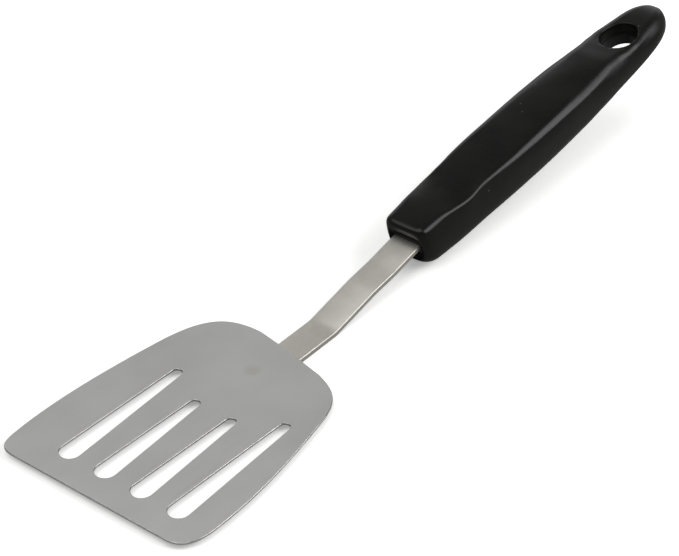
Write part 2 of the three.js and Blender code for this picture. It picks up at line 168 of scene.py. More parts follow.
def rolledStrip():
    # cold-rolled stainless strip, 2 mm: slightly warmer and brighter than the sheet, with long
    # rolling lines and faint rubs
    f = stripFinish
    material, tree, shader, place = newMaterial("rolledStrip", {"Metallic": 1.0})
    lineScale = (1 / (f["lineLength"] * mm), 1 / (f["lineWidth"] * mm), 1 / (2 * f["lineWidth"] * mm))
    along = addNode(tree, "ShaderNodeMapping", {"Scale": lineScale}, {"Vector": place})
    rolling = addNode(tree, "ShaderNodeTexNoise", {"Scale": 1.0, "Detail": 3.0},
                      {"Vector": along.outputs[0]})
    rubs = addNode(tree, "ShaderNodeTexNoise", {"Scale": 1 / (9 * mm), "Detail": 5.0, "Roughness": 0.65},
                   {"Vector": place})
    tone = addNode(tree, "ShaderNodeMapRange", {"From Min": 0.35, "From Max": 0.62},
                   {"Value": rubs.outputs["Fac"]})
    steel = addNode(tree, "ShaderNodeMix",
                    {"data_type": "RGBA", 6: linear(f["shade"]), 7: linear(f["steel"])},
                    {"Factor": tone.outputs[0]})
    tree.links.new(steel.outputs[2], shader.inputs["Base Color"])
    glossy, dull = f["roughness"]
    gloss = addNode(tree, "ShaderNodeMapRange",
                    {"From Min": 0.3, "From Max": 0.7, "To Min": glossy, "To Max": dull},
                    {"Value": rolling.outputs["Fac"]})
    tree.links.new(gloss.outputs[0], shader.inputs["Roughness"])
    lines = addNode(tree, "ShaderNodeBump", {"Strength": 0.05, "Distance": 0.03 * mm},
                    {"Height": rolling.outputs["Fac"]})
    tree.links.new(lines.outputs[0], shader.inputs["Normal"])
    return material


def fusedSteel():
    # the weld's melted metal: dull grey with a fine frosted surface
    material, tree, shader, place = newMaterial("fusedSteel", {"Metallic": 1.0, "Roughness": 0.5})
    frost = addNode(tree, "ShaderNodeTexNoise", {"Scale": 1 / (0.4 * mm), "Detail": 3.0}, {"Vector": place})
    tone = addNode(tree, "ShaderNodeMix", {"data_type": "RGBA", 6: linear("#7f7b72"), 7: linear("#a19d94")},
                   {"Factor": frost.outputs["Fac"]})
    tree.links.new(tone.outputs[2], shader.inputs["Base Color"])
    bump = addNode(tree, "ShaderNodeBump", {"Strength": 0.4, "Distance": 0.05 * mm},
                   {"Height": frost.outputs["Fac"]})
    tree.links.new(bump.outputs[0], shader.inputs["Normal"])
    return material


gripFinish = {
    "black": "#0c0c0b",
    "faded": "#131312",
    "dust": "#8d8d86",
    "roughness": (0.26, 0.34),
    "peelSize": 1.4,      # mm, the faint orange peel of a polished mould
    "swellSize": 14,      # mm, slow sink marks over thick walls
    "dustSpacing": 6,     # mm between specks
    "dustSize": 0.22,
}


def mouldedPolypropylene():
    # black polypropylene, injection moulded in a polished mould: deep black with a soft gloss, a
    # faint ripple in its highlights, duller where it has been handled, and a few dust specks
    f = gripFinish
    material, tree, shader, place = newMaterial("mouldedPolypropylene",
                                               {"IOR": 1.49, "Specular IOR Level": 0.28})
    wear = addNode(tree, "ShaderNodeTexNoise", {"Scale": 1 / (20 * mm), "Detail": 5.0, "Roughness": 0.6},
                   {"Vector": place})
    tone = addNode(tree, "ShaderNodeMapRange", {"From Min": 0.4, "From Max": 0.68},
                   {"Value": wear.outputs["Fac"]})
    black = addNode(tree, "ShaderNodeMix",
                    {"data_type": "RGBA", 6: linear(f["black"]), 7: linear(f["faded"])},
                    {"Factor": tone.outputs[0]})
    cells = addNode(tree, "ShaderNodeTexVoronoi", {"Scale": 1 / (f["dustSpacing"] * mm), "Randomness": 1.0},
                    {"Vector": place})
    reach = f["dustSize"] / f["dustSpacing"]
    near = addNode(tree, "ShaderNodeMapRange", {"From Min": reach * 0.5, "From Max": reach, "To Min": 1.0,
                   "To Max": 0.0}, {"Value": cells.outputs["Distance"]})
    dusty = addNode(tree, "ShaderNodeMix", {"data_type": "RGBA", 7: linear(f["dust"])},
                    {"Factor": near.outputs[0], 6: black.outputs[2]})
    tree.links.new(dusty.outputs[2], shader.inputs["Base Color"])
    glossy, dull = f["roughness"]
    gloss = addNode(tree, "ShaderNodeMapRange",
                    {"From Min": 0.35, "From Max": 0.7, "To Min": glossy, "To Max": dull},
                    {"Value": wear.outputs["Fac"]})
    tree.links.new(gloss.outputs[0], shader.inputs["Roughness"])
    peel = addNode(tree, "ShaderNodeTexNoise", {"Scale": 1 / (f["peelSize"] * mm), "Detail": 2.0},
                   {"Vector": place})
    swell = addNode(tree, "ShaderNodeTexNoise", {"Scale": 1 / (f["swellSize"] * mm), "Detail": 1.0},
                    {"Vector": place})
    ripple = addNode(tree, "ShaderNodeBump", {"Strength": 0.12, "Distance": 0.03 * mm},
                     {"Height": peel.outputs["Fac"]})
    sink = addNode(tree, "ShaderNodeBump", {"Strength": 0.35, "Distance": 0.6 * mm},
                   {"Height": swell.outputs["Fac"], "Normal": ripple.outputs[0]})
    tree.links.new(sink.outputs[0], shader.inputs["Normal"])
    return material


def corePlastic():
    # the same plastic from a rougher tool: matt, slightly grey, with fine turning lines on its face
    material, tree, shader, place = newMaterial("corePlastic", {"Roughness": 0.46, "IOR": 1.49})
    grit = addNode(tree, "ShaderNodeTexNoise", {"Scale": 1 / (0.6 * mm), "Detail": 3.0}, {"Vector": place})
    tone = addNode(tree, "ShaderNodeMix", {"data_type": "RGBA", 6: linear("#141413"), 7: linear("#20201e")},
                   {"Factor": grit.outputs["Fac"]})
    tree.links.new(tone.outputs[2], shader.inputs["Base Color"])
    bump = addNode(tree, "ShaderNodeBump", {"Strength": 0.3, "Distance": 0.05 * mm},
                   {"Height": grit.outputs["Fac"]})
    tree.links.new(bump.outputs[0], shader.inputs["Normal"])
    return material


def paperSweep():
    # a roll of white background paper: matt, with hardly visible fibre; it glows a little, which
    # keeps it white and its shadows faint
    material, tree, shader, place = newMaterial(
        "paperSweep",
        {"Roughness": 0.9, "IOR": 1.3, "Emission Color": linear("#ffffff"), "Emission Strength": 0.32},
    )
    fibre = addNode(tree, "ShaderNodeTexNoise", {"Scale": 1 / (3 * mm), "Detail": 4.0}, {"Vector": place})
    tone = addNode(tree, "ShaderNodeMix", {"data_type": "RGBA", 6: linear("#f6f6f5"), 7: linear("#fbfbfa")},
                   {"Factor": fibre.outputs["Fac"]})
    tree.links.new(tone.outputs[2], shader.inputs["Base Color"])
    # not as real paper does: the camera sees it white, but it lights the tool and shows in its
    # reflections as mid grey, which keeps the black grip dark
    shade = addNode(tree, "ShaderNodeBsdfDiffuse", {"Color": linear("#949493")})
    seen = addNode(tree, "ShaderNodeLightPath")
    mixed = addNode(tree, "ShaderNodeMixShader", {}, {0: seen.outputs["Is Camera Ray"], 1: shade.outputs[0],
                    2: shader.outputs[0]})
    tree.links.new(mixed.outputs[0], tree.nodes["Material Output"].inputs["Surface"])
    return material


sheetSteel = brushedStainless()
edgeSteel = polishedEdge()
stripSteel = rolledStrip()
weldMetal = fusedSteel()
gripPlastic = mouldedPolypropylene()
innerPlastic = corePlastic()
print("finishes made")


blade = {
    "underside": 2.0,
    "thickness": 0.8,
    "edgeRound": 0.16,
    # corners and swells of the outline: point, handle before it, handle after it
    "outline": [
        ((0, 37.5), (0, 14.3), (0.2, 42.5)),
        ((9, 44.8), (2, 44.4), (22, 45.8)),
        ((76, 39.5), (42, 45.4), (94, 36)),
        ((99.6, 15), (99.8, 29.5), (98.4, 6)),
        ((93.2, -17), (95.4, -7), (89.5, -28)),
        ((75, -34), (85.5, -31.5), (50, -39.2)),
        ((16, -41.37), (34, -41.57), (5, -41.4)),
        ((0, -32), (0.4, -39), (0, -8.8)),
    ],
    "slots": {
        "Slot Count": 4,
        "Slot Pitch": 16.3 * mm,
        "Pattern Middle": -1.6 * mm,
        "Front Centre": 13.1 * mm,
        "Front Radius": 4.0 * mm,
        "Rear Radius": 2.0 * mm,
        "Inner Rear Centre": 51.6 * mm,   # what it would be on the middle line
        "Rear Lean": 0.54,                # how much further back a slot ends for each mm off the middle
    },
}


def bladeOutline():
    data = bpy.data.curves.new("bladeOutline", "CURVE")
    data.dimensions = "2D"
    data.fill_mode = "NONE"
    data.resolution_u = 28
    spline = data.splines.new("BEZIER")
    spline.bezier_points.add(len(blade["outline"]) - 1)
    for knot, (point, before, after) in zip(spline.bezier_points, blade["outline"]):
        knot.co = Vector((*point, 0)) * mm
        knot.handle_left = Vector((*before, 0)) * mm
        knot.handle_right = Vector((*after, 0)) * mm
    spline.use_cyclic_u = True
    outline = bpy.data.objects.new("bladeOutline", data)
    bpy.context.scene.collection.objects.link(outline)
    return outline


def slottedSheetTree():
    # outline curve in, slotted sheet out; each slot is one circle whose points move to a large
    # front end or a small rear end, so its sides come out straight
    tree = bpy.data.node_groups.new("slottedSheet", "GeometryNodeTree")
    tree.is_modifier = True
    face = tree.interface
    face.new_socket("Geometry", in_out="INPUT", socket_type="NodeSocketGeometry")
    for name, value in blade["slots"].items():
        kind = "NodeSocketInt" if name == "Slot Count" else "NodeSocketFloat"
        face.new_socket(name, in_out="INPUT", socket_type=kind).default_value = value
    face.new_socket("Thickness", in_out="INPUT", socket_type="NodeSocketFloat")
    face.new_socket("Material", in_out="INPUT", socket_type="NodeSocketMaterial")
    face.new_socket("Geometry", in_out="OUTPUT", socket_type="NodeSocketGeometry")
    given = addNode(tree, "NodeGroupInput").outputs

    ring = addNode(tree, "GeometryNodeCurvePrimitiveCircle", {"Resolution": 64, "Radius": 1.0})
    place = addNode(tree, "GeometryNodeInputPosition")
    ringAt = addNode(tree, "GeometryNodeCaptureAttribute", {}, {"Geometry": ring.outputs["Curve"]})
    ringAt.capture_items.new("VECTOR", "Ring")
    tree.links.new(place.outputs[0], ringAt.inputs["Ring"])
    step = addNode(tree, "ShaderNodeCombineXYZ", {}, {"Y": given["Slot Pitch"]})
    row = addNode(tree, "GeometryNodeMeshLine", {"mode": "OFFSET"},
                  {"Count": given["Slot Count"], "Offset": step.outputs[0]})
    rings = addNode(tree, "GeometryNodeInstanceOnPoints", {}, {"Points": row.outputs[0],
                    "Instance": ringAt.outputs["Geometry"]})
    loose = addNode(tree, "GeometryNodeRealizeInstances", {}, {"Geometry": rings.outputs[0]})

    slotAt = addNode(tree, "ShaderNodeVectorMath", {"operation": "SUBTRACT"},
                     {0: place.outputs[0], 1: ringAt.outputs["Ring"]})
    slotY = addNode(tree, "ShaderNodeSeparateXYZ", {}, {0: slotAt.outputs[0]})
    lastSlot = addNode(tree, "ShaderNodeMath", {"operation": "SUBTRACT", 1: 1.0}, {0: given["Slot Count"]})
    rowLength = addNode(tree, "ShaderNodeMath", {"operation": "MULTIPLY"},
                        {0: lastSlot.outputs[0], 1: given["Slot Pitch"]})
    centred = addNode(tree, "ShaderNodeMath", {"operation": "MULTIPLY_ADD", 1: -0.5},
                      {0: rowLength.outputs[0], 2: slotY.outputs["Y"]})
    offMiddle = addNode(tree, "ShaderNodeMath", {"operation": "ABSOLUTE"}, {0: centred.outputs[0]})
    rearX = addNode(tree, "ShaderNodeMath", {"operation": "MULTIPLY_ADD"},
                    {0: offMiddle.outputs[0], 1: given["Rear Lean"], 2: given["Inner Rear Centre"]})
    realY = addNode(tree, "ShaderNodeMath", {"operation": "ADD"},
                    {0: centred.outputs[0], 1: given["Pattern Middle"]})
    frontCentre = addNode(tree, "ShaderNodeCombineXYZ", {},
                          {"X": given["Front Centre"], "Y": realY.outputs[0]})
    rearCentre = addNode(tree, "ShaderNodeCombineXYZ", {}, {"X": rearX.outputs[0], "Y": realY.outputs[0]})
    frontPoint = addNode(tree, "ShaderNodeVectorMath", {"operation": "MULTIPLY_ADD"},
                         {0: ringAt.outputs["Ring"], 1: given["Front Radius"], 2: frontCentre.outputs[0]})
    rearPoint = addNode(tree, "ShaderNodeVectorMath", {"operation": "MULTIPLY_ADD"},
                        {0: ringAt.outputs["Ring"], 1: given["Rear Radius"], 2: rearCentre.outputs[0]})
    ringX = addNode(tree, "ShaderNodeSeparateXYZ", {}, {0: ringAt.outputs["Ring"]})
    atRear = addNode(tree, "ShaderNodeMath", {"operation": "GREATER_THAN", 1: 0.02},
                     {0: ringX.outputs["X"]})
    slotPoint = addNode(tree, "ShaderNodeMix", {"data_type": "VECTOR"},
                        {"Factor": atRear.outputs[0], 4: frontPoint.outputs[0], 5: rearPoint.outputs[0]})
    slots = addNode(tree, "GeometryNodeSetPosition", {}, {"Geometry": loose.outputs[0],
                    "Position": slotPoint.outputs[1]})

    curves = addNode(tree, "GeometryNodeJoinGeometry")
    tree.links.new(slots.outputs[0], curves.inputs[0])
    tree.links.new(given["Geometry"], curves.inputs[0])
    flat = addNode(tree, "GeometryNodeFillCurve", {"mode": "NGONS"}, {"Curve": curves.outputs[0]})
    up = addNode(tree, "ShaderNodeCombineXYZ", {"Z": 1.0})
    raised = addNode(tree, "GeometryNodeExtrudeMesh", {"Individual": False},
                     {"Mesh": flat.outputs[0], "Offset": up.outputs[0], "Offset Scale": given["Thickness"]})
    under = addNode(tree, "GeometryNodeFlipFaces", {}, {"Mesh": flat.outputs[0]})
    both = addNode(tree, "GeometryNodeJoinGeometry")
    tree.links.new(raised.outputs["Mesh"], both.inputs[0])
    tree.links.new(under.outputs[0], both.inputs[0])
    closed = addNode(tree, "GeometryNodeMergeByDistance", {"Distance": 0.001 * mm},
                     {"Geometry": both.outputs[0]})
    whole = addNode(tree, "GeometryNodeRealizeInstances", {}, {"Geometry": closed.outputs[0]})
    finished = addNode(tree, "GeometryNodeSetMaterial", {}, {"Geometry": whole.outputs[0],
                       "Material": given["Material"]})
    addNode(tree, "NodeGroupOutput", {}, {"Geometry": finished.outputs[0]})
    return tree


def treeToMesh(holder, tree, values):
    # runs a node tree on an object and gives back the plain mesh that it makes
    modifier = holder.modifiers.new(tree.name, "NODES")
    modifier.node_group = tree
    for item in tree.interface.items_tree:
        if item.in_out == "INPUT" and item.name in values:
            modifier[item.identifier] = values[item.name]
    depsgraph = bpy.context.evaluated_depsgraph_get()
    mesh = bpy.data.meshes.new_from_object(holder.evaluated_get(depsgraph), depsgraph=depsgraph)
    holder.modifiers.remove(modifier)
    bpy.data.objects.remove(holder)
    return mesh


def buildBlade():
    values = {"Thickness": blade["thickness"] * mm, "Material": sheetSteel}
    mesh = treeToMesh(bladeOutline(), slottedSheetTree(), values)
    mesh.transform(Matrix.Translation(toolOrigin + Vector((0, 0, blade["underside"] * mm))))
    sheet = addPiece("slottedBlade", mesh, [sheetSteel, edgeSteel])
    bevel = sheet.modifiers.new("tumbledEdge", "BEVEL")
    bevel.width = blade["edgeRound"] * mm
    bevel.segments = 3
    bevel.limit_method = "ANGLE"
    bevel.angle_limit = math.radians(50)
    bevel.harden_normals = True
    bevel.material = 1
    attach(sheet, "root")
    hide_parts("blade")
    return sheet


bladePiece = buildBlade()
print("blade:", len(bladePiece.data.polygons), "faces")


shank = {
    # middle of the strip: along, up
    "path": [(75, 1.0), (116, 1.0), (138, 5.88), (149, 7.43), (162.5, 10.32), (238, 20.93)],
    "Bend Radius": 15 * mm,
    "Soft Bend Radius": 40 * mm,
    "Width": 12 * mm,
    "Thickness": 2 * mm,
    "Edge Round": 0.3 * mm,
    "Nose Radius": 4 * mm,
    "Step": 0.8 * mm,
}


def stripTree():
    # path curve in, flat strip out: bends are rounded, the section follows the path, and the end
    # under the blade has its corners rounded in plan
    tree = bpy.data.node_groups.new("bentStrip", "GeometryNodeTree")
    tree.is_modifier = True
    face = tree.interface
    face.new_socket("Geometry", in_out="INPUT", socket_type="NodeSocketGeometry")
    for name in ("Bend Radius", "Soft Bend Radius", "Width", "Thickness", "Edge Round", "Nose Radius",
                 "Step", "Nose Start"):
        face.new_socket(name, in_out="INPUT", socket_type="NodeSocketFloat")
    face.new_socket("Material", in_out="INPUT", socket_type="NodeSocketMaterial")
    face.new_socket("Geometry", in_out="OUTPUT", socket_type="NodeSocketGeometry")
    given = addNode(tree, "NodeGroupInput").outputs

    index = addNode(tree, "GeometryNodeInputIndex")
    second = addNode(tree, "ShaderNodeMath", {"operation": "GREATER_THAN", 1: 1.5}, {0: index.outputs[0]})
    radius = addNode(tree, "ShaderNodeMix", {"data_type": "FLOAT"},
                     {"Factor": second.outputs[0], 2: given["Bend Radius"], 3: given["Soft Bend Radius"]})
    bent = addNode(tree, "GeometryNodeFilletCurve", {"mode": "POLY", "Count": 14},
                   {"Curve": given["Geometry"], "Radius": radius.outputs[0]})
    fine = addNode(tree, "GeometryNodeResampleCurve", {"mode": "LENGTH"},
                   {"Curve": bent.outputs[0], "Length": given["Step"]})
    block = addNode(tree, "GeometryNodeCurvePrimitiveQuadrilateral", {}, {"Width": given["Width"],
                    "Height": given["Thickness"]})
    section = addNode(tree, "GeometryNodeFilletCurve", {"mode": "POLY", "Count": 4},
                      {"Curve": block.outputs[0], "Radius": given["Edge Round"]})
    strip = addNode(tree, "GeometryNodeCurveToMesh", {"Fill Caps": True},
                    {"Curve": fine.outputs[0], "Profile Curve": section.outputs[0]})

    # half width near the nose: w - r + sqrt(r^2 - (r - x)^2), as a share of w
    place = addNode(tree, "GeometryNodeInputPosition")
    at = addNode(tree, "ShaderNodeSeparateXYZ", {}, {0: place.outputs[0]})
    fromNose = addNode(tree, "ShaderNodeMath", {"operation": "SUBTRACT"},
                       {0: at.outputs["X"], 1: given["Nose Start"]})
    share = addNode(tree, "ShaderNodeMath", {"operation": "DIVIDE", "use_clamp": True},
                    {0: fromNose.outputs[0], 1: given["Nose Radius"]})
    left = addNode(tree, "ShaderNodeMath", {"operation": "SUBTRACT", 0: 1.0}, {1: share.outputs[0]})
    square = addNode(tree, "ShaderNodeMath", {"operation": "MULTIPLY"},
                     {0: left.outputs[0], 1: left.outputs[0]})
    rest = addNode(tree, "ShaderNodeMath", {"operation": "SUBTRACT", 0: 1.0}, {1: square.outputs[0]})
    root = addNode(tree, "ShaderNodeMath", {"operation": "SQRT"}, {0: rest.outputs[0]})
    drawnIn = addNode(tree, "ShaderNodeMath", {"operation": "SUBTRACT", 0: 1.0}, {1: root.outputs[0]})
    doubled = addNode(tree, "ShaderNodeMath", {"operation": "MULTIPLY", 1: 2.0}, {0: given["Nose Radius"]})
    part = addNode(tree, "ShaderNodeMath", {"operation": "DIVIDE"},
                   {0: doubled.outputs[0], 1: given["Width"]})
    lost = addNode(tree, "ShaderNodeMath", {"operation": "MULTIPLY"},
                   {0: part.outputs[0], 1: drawnIn.outputs[0]})
    kept = addNode(tree, "ShaderNodeMath", {"operation": "SUBTRACT", 0: 1.0}, {1: lost.outputs[0]})
    shapedY = addNode(tree, "ShaderNodeMath", {"operation": "MULTIPLY"},
                      {0: at.outputs["Y"], 1: kept.outputs[0]})
    shaped = addNode(tree, "ShaderNodeCombineXYZ", {}, {"X": at.outputs["X"], "Y": shapedY.outputs[0],
                     "Z": at.outputs["Z"]})
    rounded = addNode(tree, "GeometryNodeSetPosition", {}, {"Geometry": strip.outputs[0],
                      "Position": shaped.outputs[0]})
    whole = addNode(tree, "GeometryNodeRealizeInstances", {}, {"Geometry": rounded.outputs[0]})
    finished = addNode(tree, "GeometryNodeSetMaterial", {}, {"Geometry": whole.outputs[0],
                       "Material": given["Material"]})
    addNode(tree, "NodeGroupOutput", {}, {"Geometry": finished.outputs[0]})
    return tree


def buildShank():
    data = bpy.data.curves.new("shankPath", "CURVE")
    data.dimensions = "3D"
    spline = data.splines.new("POLY")
    spline.points.add(len(shank["path"]) - 1)
    for point, (x, z) in zip(spline.points, shank["path"]):
        point.co = (x * mm, 0, z * mm, 1)
    path = bpy.data.objects.new("shankPath", data)
    bpy.context.scene.collection.objects.link(path)
    values = {**shank, "Nose Start": shank["path"][0][0] * mm, "Material": stripSteel}
    mesh = treeToMesh(path, stripTree(), values)
    mesh.transform(Matrix.Translation(toolOrigin))
    strip = addPiece("bentShank", mesh, [stripSteel])
    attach(strip, "root")
    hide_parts("shank")
    return strip


shankPiece = buildShank()
print("shank:", len(shankPiece.data.polygons), "faces")


grip = {
    "tilt": 8.0,                 # degrees up from the bench
    "tangHeight": 1.0,           # the shank lies this far above the grip's axis
    "start": (162.0, 9.26),      # where its axis meets its front face: along, up
    "length": 162.2,
    # rounding at the front of each line: how far along it starts, how deep it goes
    "topRim": (3.0, 2.1),
    "sideRim": (5.5, 2.0),
    "heel": (8.0, 3.6),
    "lean": 3.0,                 # the front face's foot stands this far back
    "tailStart": 134.0,
    "tailPower": 4.1,            # 2 closes the tail as an ellipse, more makes it blunter
    "tailMiddle": 0.4,           # height that the tail closes to, above the axis
    "tailDepthPower": 5,         # as tailPower, seen from the side
    "leanTop": 9.4,              # the face leans from this height down
    "leanDrop": 19.4,
    "leanReach": 30,             # and the lean has faded out this far back
    # lines along the axis: distance from the front, value
    "width": [(0, 9.6), (5, 10.3), (11, 10.8), (20, 11.4), (29, 11.7), (53, 12.8), (79, 13.2),
              (107, 13.0), (120, 12.6), (130, 12.1), (139, 11.6), (150, 10.9), (164, 9.9)],
    # the crease, off the axis and above it: it swings out and down beside the thumb
    "crease": [(0, 8.4), (3, 8.9), (11, 9.2), (19, 10.1), (27, 10.9), (35, 10.5), (43, 11.0),
               (53, 11.4), (66, 11.0), (84, 10.8), (100, 10.0), (110, 9.1), (116, 8.7), (123, 8.5),
               (130, 9.4), (134, 9.4), (140, 8.4), (147, 7.1), (154, 6.6), (164, 6.0)],
    "creaseHeight": [(0, 9.6), (3, 10.0), (11, 9.8), (19, 8.6), (27, 7.9), (35, 8.7), (43, 8.9),
                     (53, 8.7), (66, 8.5), (84, 8.0), (100, 7.3), (116, 6.9), (124, 6.1), (132, 4.9),
                     (140, 4.6), (150, 4.6), (164, 4.15)],
    "crown": [(0, 9.9), (11, 9.9), (27, 9.2), (43, 9.1), (66, 8.8), (84, 8.7), (100, 8.4), (116, 7.4),
              (124, 6.3), (132, 5.3), (140, 4.8), (164, 4.3)],
    "belly": [(0, -10.0), (10, -10.2), (41, -10.7), (73, -11.4), (95, -10.9), (110, -9.0), (122, -7.2),
              (135, -6.1), (150, -5.0), (164, -3.8)],
    # below 1 fills the lower corners out
    "squareness": [(0, 0.72), (90, 0.72), (130, 0.52), (164, 0.55)],
    "creaseRound": [(0, 3.2), (8, 3.0), (18, 1.4), (32, 1.4), (42, 2.0), (58, 2.6), (85, 2.8), (120, 2.4),
                    (164, 2.0)],
    # 1 is a straight flank, 2 a round one
    "bulge": [(0, 1.5), (40, 1.7), (58, 3.1), (96, 2.9), (120, 1.5), (164, 1.3)],
    # where the widest level lies, as a share of the way from belly to crease
    "waist": [(0, 0.5), (100, 0.5), (124, 0.38), (139, 0.3), (164, 0.3)],
    # steps going in: distance behind the rim, half width, top, bottom
    "mouth": [
        (0.04, 7.5, 7.2, -6.2), (0.1, 7.42, 7.0, -6.05), (0.42, 7.4, 6.95, -6.0), (0.48, 7.32, 6.8, -5.9),
        (0.5, 7.2, 5.9, -5.2), (0.56, 7.14, 5.75, -5.1), (0.9, 7.12, 5.7, -5.05), (0.96, 7.06, 5.55, -4.95),
        (0.98, 6.95, 4.6, -4.3), (1.04, 6.88, 4.45, -4.2), (1.4, 6.86, 4.4, -4.15), (1.46, 6.8, 4.2, -4.0),
        (1.5, 6.72, 3.6, -3.6), (2.2, 6.72, 3.6, -3.6), (2.25, 7.5, 3.5, -3.5), (86.9, 7.5, 3.5, -3.5),
    ],
    "hole": {
        "s": 135.6,
        "y": -0.5,
        "halfLength": 8.6,
        "halfWidth": 6.35,
        "lip": 0.7,        # a cutter ring's growth of 1 is this many mm
        "step": 0.5,       # how far the ledge closes the oval in, in lips
        "ledge": 0.7,      # height of the ledge's top above the axis
        "shelf": 2.4,      # height of the shelf over it
    },
}

gripFrame = (
    Matrix.Translation(toolOrigin + Vector((grip["start"][0], 0, grip["start"][1])) * mm)
    @ Matrix.Rotation(math.radians(-grip["tilt"]), 4, "Y") @ Matrix.Scale(mm, 4)
)


def lineAt(points, s):
    # smooth curve through the points, without overshoot
    xs, ys = zip(*points)
    s = min(max(s, xs[0]), xs[-1])
    k = max(i for i in range(len(xs) - 1) if xs[i] <= s)
    slopes = [(ys[i + 1] - ys[i]) / (xs[i + 1] - xs[i]) for i in range(len(xs) - 1)]

    def knotSlope(i):
        if i == 0 or i == len(xs) - 1:
            return slopes[min(i, len(slopes) - 1)]
        a, b = slopes[i - 1], slopes[i]
        return 2 * a * b / (a + b) if a * b > 0 else 0.0

    h = xs[k + 1] - xs[k]
    t = (s - xs[k]) / h
    return (
        ys[k] * (1 + 2 * t) * (1 - t) ** 2 + h * knotSlope(k) * t * (1 - t) ** 2
        + ys[k + 1] * t * t * (3 - 2 * t) + h * knotSlope(k + 1) * t * t * (t - 1)
    )


def drawnIn(s, rim):
    reach, depth = rim
    return depth * (1 - math.sqrt(1 - (1 - s / reach) ** 2)) if s < reach else 0.0


def gripHalf(s):
    # half a section, from the middle of the top round to the middle of the belly: (y, n) points
    t = max(0.0, (s - grip["tailStart"]) / (grip["length"] - grip["tailStart"]))
    plan, depth = math.sqrt(1 - t ** grip["tailPower"]), math.sqrt(1 - t ** grip["tailDepthPower"])
    middle = grip["tailMiddle"]
    width = lineAt(grip["width"], s) * plan - drawnIn(s, grip["sideRim"])
    crease = min(lineAt(grip["crease"], s) * plan - drawnIn(s, grip["topRim"]), width - 0.05)
    rim = drawnIn(s, grip["topRim"])
    crown = middle + (lineAt(grip["crown"], s) - middle) * depth - rim
    edge = min(middle + (lineAt(grip["creaseHeight"], s) - middle) * depth - rim, crown - 0.02)
    bottom = middle + (lineAt(grip["belly"], s) - middle) * depth + drawnIn(s, grip["heel"])
    widest = bottom + (edge - bottom) * lineAt(grip["waist"], s)
    soft = min(lineAt(grip["creaseRound"], s), 0.45 * crease, 0.6 * (edge - widest))

    def topAt(y):
        return crown - (crown - edge) * (y / crease) ** 2

    # the flank leaves the crease at a slope of its own and comes down upright
    chord = math.atan2(edge - widest, width - crease)
    slope = math.pi / 2 - (math.pi / 2 - chord) * lineAt(grip["bulge"], s)
    pull = 0.36 * math.hypot(width - crease, edge - widest)
    flank = ((crease, edge), (crease + pull * math.cos(slope), edge - pull * math.sin(slope)),
             (width, widest + pull), (width, widest))

    def flankAt(t1):
        t0 = 1 - t1
        return tuple(t0 ** 3 * a + 3 * t0 * t0 * t1 * b + 3 * t0 * t1 * t1 * c + t1 ** 3 * d
                     for a, b, c, d in zip(*flank))

    leave = min(soft / (3 * pull), 0.5)
    start, end = (crease - soft, topAt(crease - soft)), flankAt(leave)
    points = [((crease - soft) * i / 14, topAt((crease - soft) * i / 14)) for i in range(14)]
    for i in range(12):
        u = i / 12
        points.append(tuple((1 - u) ** 2 * a + 2 * (1 - u) * u * b + u * u * c
                            for a, b, c in zip(start, (crease, edge), end)))
    points += [flankAt(leave + (1 - leave) * i / 12) for i in range(12)]
    square = lineAt(grip["squareness"], s)
    for i in range(21):
        a = math.pi / 2 * i / 20
        y = 0.0 if i == 20 else width * math.cos(a) ** square
        points.append((y, widest - (widest - bottom) * math.sin(a) ** square))
    return points


def mirrored(half):
    return half + [(-y, n) for y, n in reversed(half[1:-1])]


def leanBack(s, n):
    # the front face slopes: its foot is further back than its top
    share = min(max((grip["leanTop"] - n) / grip["leanDrop"], 0.0), 1.0)
    return s + grip["lean"] * share * max(0.0, 1 - s / grip["leanReach"]) ** 2


def skinRings():
    stations = [0.0, 0.08, 0.25, 0.5, 0.85, 1.3, 1.75, 2.2, 3.0, 4.0, 5.0, 6.0, 7.2]
    s = 8.5
    while s < grip["tailStart"]:
        stations.append(s)
        s += 1.5
    tailSteps = 26
    for i in range(tailSteps):
        share = math.sin(math.pi / 2 * i / tailSteps)
        stations.append(grip["tailStart"] + (grip["length"] - grip["tailStart"]) * share)
    stations.append(grip["length"] - 0.01)
    return [[(leanBack(s, n), y, n) for y, n in mirrored(gripHalf(s))] for s in stations]


def squareRing(angles, halfWidth, top, bottom, power):
    # a rounded rectangle, one point at each angle round its middle
    middle, halfHeight = (top + bottom) / 2, (top - bottom) / 2
    ring = []
    for a in angles:
        reach = 1 / (abs(math.cos(a)) ** power + abs(math.sin(a)) ** power) ** (1 / power)
        ring.append((halfWidth * reach * math.cos(a), middle + halfHeight * reach * math.sin(a)))
    return ring


def mouthRings(outer):
    # rings of a rounded square, each point at the angle of the outer ring's point
    angles = [math.atan2((n + 0.2) / 9.0, y / 8.0) for x, y, n in outer]
    return [
        [(leanBack(depth, n), y, n) for y, n in squareRing(angles, halfWidth, top, bottom, 4.5)]
        for depth, halfWidth, top, bottom in grip["mouth"]
    ]


def loftMesh(name, rings, transform, closed=False):
    # skin over rings of equal length; an open row of rings is capped at both ends
    count = len(rings[0])
    verts = [p for ring in rings for p in ring]
    faces = []
    last = len(rings) if closed else len(rings) - 1
    for k in range(last):
        a0, b0 = k * count, ((k + 1) % len(rings)) * count
        for i in range(count):
            j = (i + 1) % count
            faces.append((a0 + i, a0 + j, b0 + j, b0 + i))
    if not closed:
        faces.append(tuple(reversed(range(count))))
        faces.append(tuple(range((len(rings) - 1) * count, len(rings) * count)))
    mesh = bpy.data.meshes.new(name)
    mesh.from_pydata([transform @ Vector(p) for p in verts], [], faces)
    mesh.validate()
    return mesh


